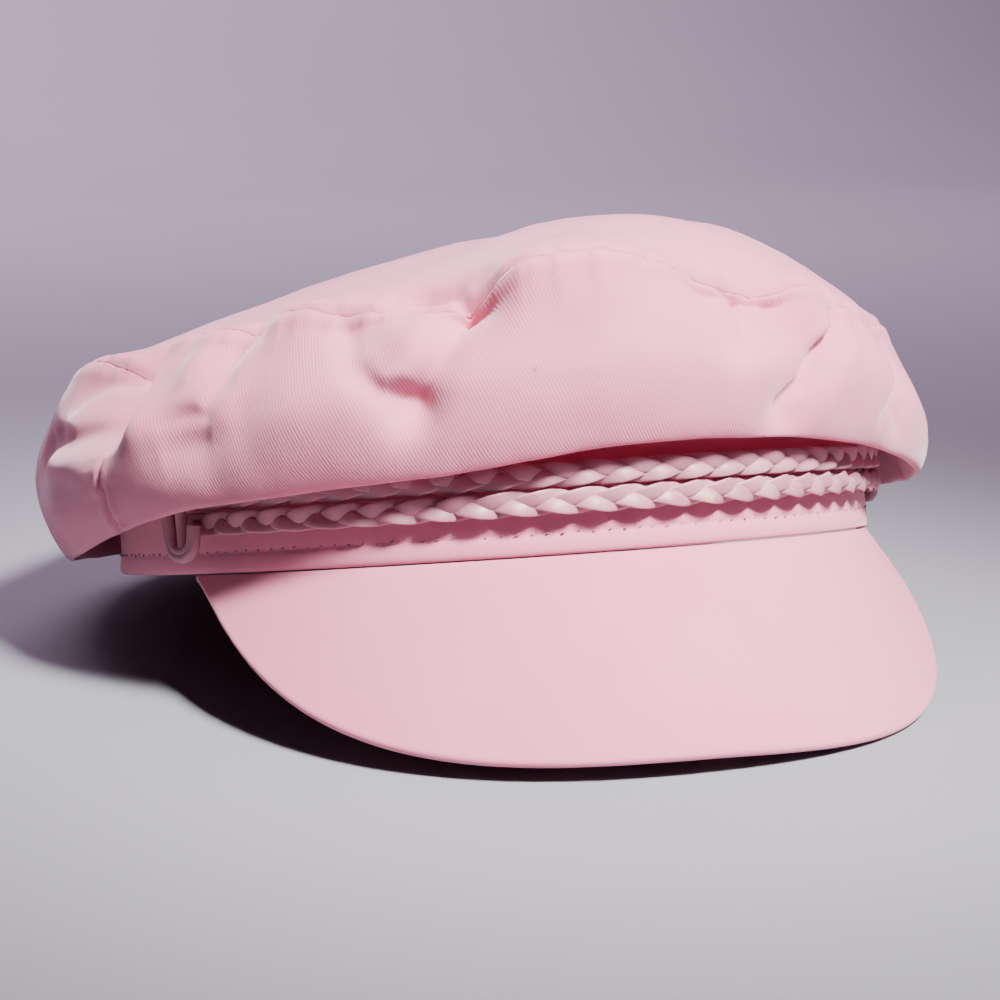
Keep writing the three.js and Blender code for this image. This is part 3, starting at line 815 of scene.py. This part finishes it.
def head_band():
    """The band is one closed ring: its outside, over the top and down the inside."""
    angles = np.linspace(-180, 180, 901)
    profile = np.array(BAND_PROFILE)
    angle, row = np.meshgrid(angles, np.arange(len(profile)), indexing="ij")
    reach, height = profile[row, 0], profile[row, 1]
    along = np.radians(angle) * BAND_A
    near_stitch = np.exp(-((height - STITCH_HEIGHT) / STITCH_PULL_REACH) ** 2)
    drawn = STITCH_PULL * np.cos(along / STITCH_PITCH * 2 * math.pi) * near_stitch
    near_hem = np.exp(-((height - HEM_WAVE_HEIGHT) / HEM_WAVE_REACH) ** 2)
    wavy = HEM_WAVE * ripple(along / HEM_WAVE_PITCH) * near_hem
    outer = around(angle, reach + drawn + wavy, height)
    inside = np.array(BAND_INSIDE)[::-1]
    spread = np.interp(np.linspace(0, 1, len(profile)), np.linspace(0, 1, len(inside)), range(len(inside)))
    pick = [np.interp(spread, range(len(inside)), inside[:, k]) for k in (0, 1)]
    inner = around(angle, pick[0][row], pick[1][row])
    flat = np.stack([along, -height], -1)
    return closed_wall("head_band_cloth", outer[:, ::-1], inner[:, ::-1], flat[:, ::-1],
                       band_cloth, ring=True)


band = head_band()


# Peak
PEAK_ROUND = 0.0012
PEAK_EDGE_SHARE = 0.12


def peak_cover():
    """The peak: twill over a board, folded round its edge."""
    along = np.linspace(-PEAK_END_SHARE, PEAK_END_SHARE, 361)
    out = np.concatenate([np.linspace(0, 0.965, 46), [0.975, 0.985, 0.992, 1.0]])
    a, o = np.meshgrid(along, out, indexing="ij")
    top = peak_point(a, o)
    under = peak_inside(a, o)
    middle = (top + under) / 2
    depth = np.linalg.norm(peak_point(a, 1) - peak_point(a, 0), axis=-1)
    from_edge = (1 - o) * depth
    full = np.sqrt(np.clip(1 - np.clip(1 - from_edge / PEAK_ROUND, 0, 1) ** 2, 0, 1))
    full = PEAK_EDGE_SHARE + (1 - PEAK_EDGE_SHARE) * full
    outer = middle + (top - middle) * full[..., None]
    inner = middle + (under - middle) * full[..., None]
    flat = np.stack([np.radians(a * PEAK_HALF_ANGLE) * (BAND_A + PEAK_DEPTH * 0.4), o * PEAK_DEPTH], -1)
    return closed_wall("peak_cover", outer, inner, flat, peak_cloth)


peak = peak_cover()


# Plaits
PLAIT_LOBE = 0.0085
STRAP_WIDTH = 0.0034
STRAP_THICK = 0.0009
PLAIT_STEP = 0.0005
PLAIT_ROLL = 0.4  # radians


def curve_along(name, *lines):
    """Lines through points of the cap's own frame, each with its share of the full thickness."""
    line = bpy.data.curves.new(name, "CURVE")
    line.dimensions = "3D"
    for points, share in lines:
        spline = line.splines.new("POLY")
        spline.points.add(len(points) - 1)
        spline.points.foreach_set("co", np.concatenate([points, np.ones((len(points), 1))], 1).ravel())
        spline.points.foreach_set("radius", share * np.ones(len(points)))
    thing = bpy.data.objects.new(name, line)
    bpy.context.scene.collection.objects.link(thing)
    return thing


def new_tree(name, inputs):
    """A geometry tree with named inputs, and the amount that each gives."""
    tree = bpy.data.node_groups.new(name, "GeometryNodeTree")
    tree.interface.new_socket("Geometry", in_out="INPUT", socket_type="NodeSocketGeometry")
    tree.interface.new_socket("Geometry", in_out="OUTPUT", socket_type="NodeSocketGeometry")
    for label in inputs:
        tree.interface.new_socket(label, in_out="INPUT", socket_type="NodeSocketFloat")
    nodes = Nodes(tree)
    entry = tree.nodes.new("NodeGroupInput")
    given = {label: Amount(nodes, entry.outputs[label]) for label in ("Geometry", *inputs)}
    return nodes, given


def end_tree(nodes, geometry, material):
    """The tree's end: instances made real and the material set."""
    real = nodes.node("GeometryNodeRealizeInstances", None, {0: geometry})
    clad = nodes.node("GeometryNodeSetMaterial", None, {"Geometry": real, "Material": material})
    leave = nodes.tree.nodes.new("NodeGroupOutput")
    nodes.tree.links.new(clad.socket, leave.inputs[0])
    return nodes.tree


def grown(name, path, tree, sizes, material):
    """The plain mesh that a tree grows along a path, stood up with the cap."""
    modifier = path.modifiers.new(name, "NODES")
    modifier.node_group = tree
    for item in tree.interface.items_tree:
        if item.item_type == "SOCKET" and item.in_out == "INPUT" and item.name in sizes:
            modifier[item.identifier] = sizes[item.name]
    bpy.context.view_layer.update()
    seen = path.evaluated_get(bpy.context.evaluated_depsgraph_get())
    mesh = bpy.data.meshes.new_from_object(seen)
    path.modifiers.remove(modifier)
    bpy.data.objects.remove(path)
    place = Matrix(TURN.tolist()).to_4x4()
    place.translation = Vector(SHIFT)
    mesh.transform(place)
    return finish_mesh(name, mesh, material)


def plait_tree():
    """Three flat straps that cross over and under each other, as offsets from one path."""
    nodes, given = new_tree("three_strand_plait", ("Half Width", "Half Depth", "Lobe", "Hand",
                                                  "Strap Width", "Strap Thickness", "Roll"))
    path = nodes.node("GeometryNodeResampleCurve", {"mode": "LENGTH"},
                      {"Curve": given["Geometry"], "Length": PLAIT_STEP})
    path = nodes.node("GeometryNodeSetCurveNormal", {"mode": "Z_UP"}, {0: path})
    copies = nodes.node("GeometryNodeDuplicateElements", {"domain": "SPLINE"},
                        {"Geometry": path, "Amount": 3})
    strand = Amount(nodes, copies.socket.node.outputs[1])
    along = nodes.node("GeometryNodeSplineParameter", output=1)
    turn = (along / given["Lobe"] + strand) * (2 * math.pi / 3)
    normal = nodes.node("GeometryNodeInputNormal")
    lift = turn.sine() * given["Half Width"]
    out = (turn * 2.0).sine() * given["Half Depth"] * given["Hand"]
    outward = nodes.node("ShaderNodeVectorMath", {"operation": "SCALE"}, {0: normal, "Scale": out})
    rise = nodes.node("ShaderNodeCombineXYZ", None, {"Z": lift})
    moved = nodes.node("ShaderNodeVectorMath", {"operation": "ADD"}, {0: outward, 1: rise})
    strands = nodes.node("GeometryNodeSetPosition", None, {"Geometry": copies, "Offset": moved})
    strands = nodes.node("GeometryNodeSetCurveTilt", None,
                         {"Curve": strands, "Tilt": turn.sine() * given["Roll"] * given["Hand"]})
    strap = nodes.node("GeometryNodeCurvePrimitiveCircle", {"mode": "RADIUS"},
                       {"Resolution": 14, "Radius": 0.5})
    size = nodes.node("ShaderNodeCombineXYZ", None,
                      {"X": given["Strap Thickness"], "Y": given["Strap Width"], "Z": 1.0})
    strap = nodes.node("GeometryNodeTransform", None, {"Geometry": strap, "Scale": size})
    mesh = nodes.node("GeometryNodeCurveToMesh", None,
                      {"Curve": strands, "Profile Curve": strap, "Fill Caps": True})
    return end_tree(nodes, mesh, plait_hide)


PLAIT_SIZES = {"Half Width": 0.00112, "Half Depth": 0.0008, "Lobe": PLAIT_LOBE, "Hand": 1.0,
               "Strap Width": STRAP_WIDTH, "Strap Thickness": STRAP_THICK, "Roll": PLAIT_ROLL}


def plaited_cord(name, height, hand):
    """One plait from knot to knot. Its hand is 1 or -1, for the way that its points face."""
    half = KNOT_HALF_ANGLE + degrees_for(CORD_PAST_KNOT, KNOT_HALF_ANGLE)
    angles = np.linspace(CORD_TURN - half, CORD_TURN + half, 161)
    path = curve_along(name + "_path", (around(angles, CORD_REACH, height), 1))
    return grown(name, path, plait_tree(), {**PLAIT_SIZES, "Hand": hand}, plait_hide)


upper_plait = plaited_cord("upper_plait", UPPER_CORD_HEIGHT, -1.0)
lower_plait = plaited_cord("lower_plait", LOWER_CORD_HEIGHT, 1.0)


# Knots
# The thinner lace outside the U and the strap inside it: how much lower, wider and prouder than
# the U each runs, and its thickness as a share of the U's.
RIM_DROP = 0.0014
RIM_OUT = 0.0008
RIM_PROUD = 0.0001
RIM_SHARE = 0.5
HANGING_HALF_WIDTH = 0.0002
HANGING_PROUD = -0.0004
HANGING_SHARE = 1.1


def knot_route(side, drop, half_width=KNOT_HALF_WIDTH, proud=0.0):
    """A cord hung over both plaits in a U, as in the model's source."""
    middle = CORD_TURN + side * KNOT_HALF_ANGLE
    half = side * degrees_for(half_width, middle)
    face = CORD_REACH + CORD_DIAMETER / 2 + GAP + KNOT_CORD_DIAMETER / 2 + proud
    bend = LOWER_CORD_HEIGHT - drop
    top = UPPER_CORD_HEIGHT + CORD_DIAMETER / 2 + GAP + KNOT_CORD_DIAMETER / 2
    turned = LOWER_CORD_HEIGHT + (bend - LOWER_CORD_HEIGHT) * 0.75
    rows = np.array([
        (middle + half, GAP + KNOT_CORD_DIAMETER / 2, top),
        (middle + half, face * 0.72, top),
        (middle + half, face, UPPER_CORD_HEIGHT),
        (middle + half, face, LOWER_CORD_HEIGHT),
        (middle + half * 0.75, face, turned),
        (middle, face, bend),
        (middle - half * 0.75, face, turned),
        (middle - half, face, LOWER_CORD_HEIGHT),
    ])
    return around(*rows.T)


def smooth_line(points, steps):
    """A smooth line through points."""
    ends = np.concatenate([[2 * points[0] - points[1]], points, [2 * points[-1] - points[-2]]])
    t = np.linspace(0, 1, steps, endpoint=False)[:, None]
    pieces = [through(*ends[k:k + 4], t) for k in range(len(points) - 1)]
    return np.concatenate([*pieces, points[-1:]])


def knot_tree():
    """A round leather lace along a path."""
    nodes, given = new_tree("knot_lace", ("Diameter",))
    circle = nodes.node("GeometryNodeCurvePrimitiveCircle", {"mode": "RADIUS"},
                        {"Resolution": 16, "Radius": 0.5})
    size = nodes.node("ShaderNodeCombineXYZ", None,
                      {"X": given["Diameter"], "Y": given["Diameter"], "Z": 1.0})
    round_lace = nodes.node("GeometryNodeTransform", None, {"Geometry": circle, "Scale": size})
    mesh = nodes.node("GeometryNodeCurveToMesh", None,
                      {"Curve": given["Geometry"], "Profile Curve": round_lace, "Fill Caps": True})
    return end_tree(nodes, mesh, plait_hide)


def knot(name, side, drop):
    """A U of lace, doubled by a thinner one outside it, with a strap hanging down inside."""
    lace = smooth_line(knot_route(side, drop), 12)
    share = np.linspace(0, 1, len(lace))
    # Thicker round the bend, and slimmer at the loose end.
    swell = (0.85 + 0.5 * np.exp(-((share - 0.73) / 0.14) ** 2)) * (1 - 0.5 * smooth(share, 0.93, 1))
    rim = smooth_line(knot_route(side, drop + RIM_DROP, KNOT_HALF_WIDTH + RIM_OUT, RIM_PROUD), 12)
    shorter = drop - KNOT_CORD_DIAMETER * 0.4
    hanging = smooth_line(knot_route(side, shorter, HANGING_HALF_WIDTH, HANGING_PROUD)[:6], 12)
    path = curve_along(name + "_path", (lace, swell), (rim, RIM_SHARE), (hanging, HANGING_SHARE))
    return grown(name, path, knot_tree(), {"Diameter": KNOT_CORD_DIAMETER}, plait_hide)


right_knot = knot("right_knot", -1, KNOT_DROP_RIGHT)
left_knot = knot("left_knot", 1, KNOT_DROP_LEFT)


# Stitches
def stitch_tree():
    """Short slanted stitches along a path, each a little off its place and its size."""
    nodes, given = new_tree("hem_stitches", ("Pitch", "Length", "Width", "Slant"))
    path = nodes.node("GeometryNodeSetCurveNormal", {"mode": "Z_UP"}, {0: given["Geometry"]})
    points = nodes.node("GeometryNodeCurveToPoints", {"mode": "LENGTH"},
                        {"Curve": path, "Length": given["Pitch"]})
    turn = Amount(nodes, points.socket.node.outputs["Rotation"])
    stray = nodes.node("FunctionNodeRandomValue", {"data_type": "FLOAT_VECTOR"},
                       {0: (-0.0003, -0.0003, -0.00015), 1: (0.0003, 0.0003, 0.00015), "Seed": 4})
    points = nodes.node("GeometryNodeSetPosition", None, {"Geometry": points, "Offset": stray})
    uneven = nodes.node("FunctionNodeRandomValue", {"data_type": "FLOAT_VECTOR"},
                        {0: (0.7, 0.8, 0.6), 1: (1.2, 1.2, 1.15), "Seed": 9})
    bead = nodes.node("GeometryNodeMeshIcoSphere", None, {"Radius": 0.5, "Subdivisions": 2})
    size = nodes.node("ShaderNodeCombineXYZ", None, {"X": given["Width"], "Y": given["Width"],
                                                    "Z": given["Length"]})
    size = nodes.node("ShaderNodeVectorMath", {"operation": "MULTIPLY"}, {0: size, 1: uneven})
    laid = nodes.node("GeometryNodeInstanceOnPoints", None,
                      {"Points": points, "Instance": bead, "Rotation": turn, "Scale": size})
    slant = nodes.node("ShaderNodeCombineXYZ", None, {"X": given["Slant"]})
    laid = nodes.node("GeometryNodeRotateInstances", None, {"Instances": laid, "Rotation": slant})
    return end_tree(nodes, laid, stitch_cotton)


def hem_stitches():
    """One row of stitches all round, in the groove above the hem."""
    angles = np.linspace(0, 360, 721)
    path = curve_along("stitch_path", (around(angles, STITCH_PROUD, STITCH_HEIGHT), 1))
    sizes = {"Pitch": STITCH_PITCH, "Length": STITCH_LENGTH, "Width": STITCH_WIDTH,
             "Slant": STITCH_SLANT}
    return grown("hem_stitches", path, stitch_tree(), sizes, stitch_cotton)


stitches = hem_stitches()


# Floor and light
def studio_sweep():
    """A pale floor that curves up behind."""
    material, nodes, shader = paint("studio_floor", roughness=0.8)
    body = nodes.node("ShaderNodeTexCoord", output=3)
    mottle = nodes.noise(body, 3.0, 3.0)
    pale = nodes.blend(mottle, colour(0.24, 0.235, 0.26), colour(0.27, 0.265, 0.29))
    feed(nodes, shader, base_color=pale)
    size = 6.0
    back = 2.4
    sweep = 0.8
    turn = np.radians(np.linspace(0, 90, 13))
    bend = zip(back - sweep + sweep * np.sin(turn), sweep - sweep * np.cos(turn))
    side = [(-size, 0), *bend, (back, size)]
    points = [(x, y, z) for y, z in side for x in (-size, size)]
    faces = [(2 * k, 2 * k + 1, 2 * k + 3, 2 * k + 2) for k in range(len(side) - 1)]
    mesh = bpy.data.meshes.new("studio_floor")
    mesh.from_pydata(points, [], faces)
    piece = finish_mesh("studio_floor", mesh, material)


def soft_light(name, place, size, power, tint=(1, 1, 1), at=(0, 0, 0), spread=180):
    """A square lamp aimed at a place. A small spread, in degrees, keeps its pool narrow."""
    lamp = bpy.data.objects.new(name, bpy.data.lights.new(name, "AREA"))
    lamp.data.size = size
    lamp.data.energy = power
    lamp.data.color = tint
    lamp.data.spread = math.radians(spread)
    lamp.location = place
    lamp.rotation_euler = (Vector(at) - Vector(place)).to_track_quat("-Z", "Y").to_euler()
    bpy.context.scene.collection.objects.link(lamp)


studio_sweep()
soft_light("key_light", (0.20, -0.74, 0.98), 0.26, 1.85, at=(0.0, -0.07, 0.05), spread=24)
soft_light("fill_light", (0.6, -0.9, 1.2), 1.0, 2.6, tint=(0.85, 0.78, 1.0))
soft_light("backdrop_light", (0.0, 1.2, 1.9), 1.5, 110.0, tint=(0.96, 0.74, 1.0), at=(0, 2.4, 0.6))
world = bpy.data.worlds.new("studio")
world.use_nodes = True
world.node_tree.nodes["Background"].inputs["Color"].default_value = colour(0.55, 0.42, 0.74)
world.node_tree.nodes["Background"].inputs["Strength"].default_value = 0.03
bpy.context.scene.world = world

# What each piece stands for
STANDS_FOR = (
    (tip, "crown_top", "crown_twill"),
    (front_panel, "crown_front", "crown_twill"),
    (back_panel, "crown_back", "crown_twill"),
    (band, "head_band", "band_twill"),
    (peak, "peak", "band_twill"),
    (upper_plait, "braid_upper", "plait_leather"),
    (lower_plait, "braid_lower", "plait_leather"),
    (right_knot, "knot_right", "plait_leather"),
    (left_knot, "knot_left", "plait_leather"),
)
for piece, node, slot in STANDS_FOR:
    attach(piece, "root")
    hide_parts(node)
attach(stitches, "root")
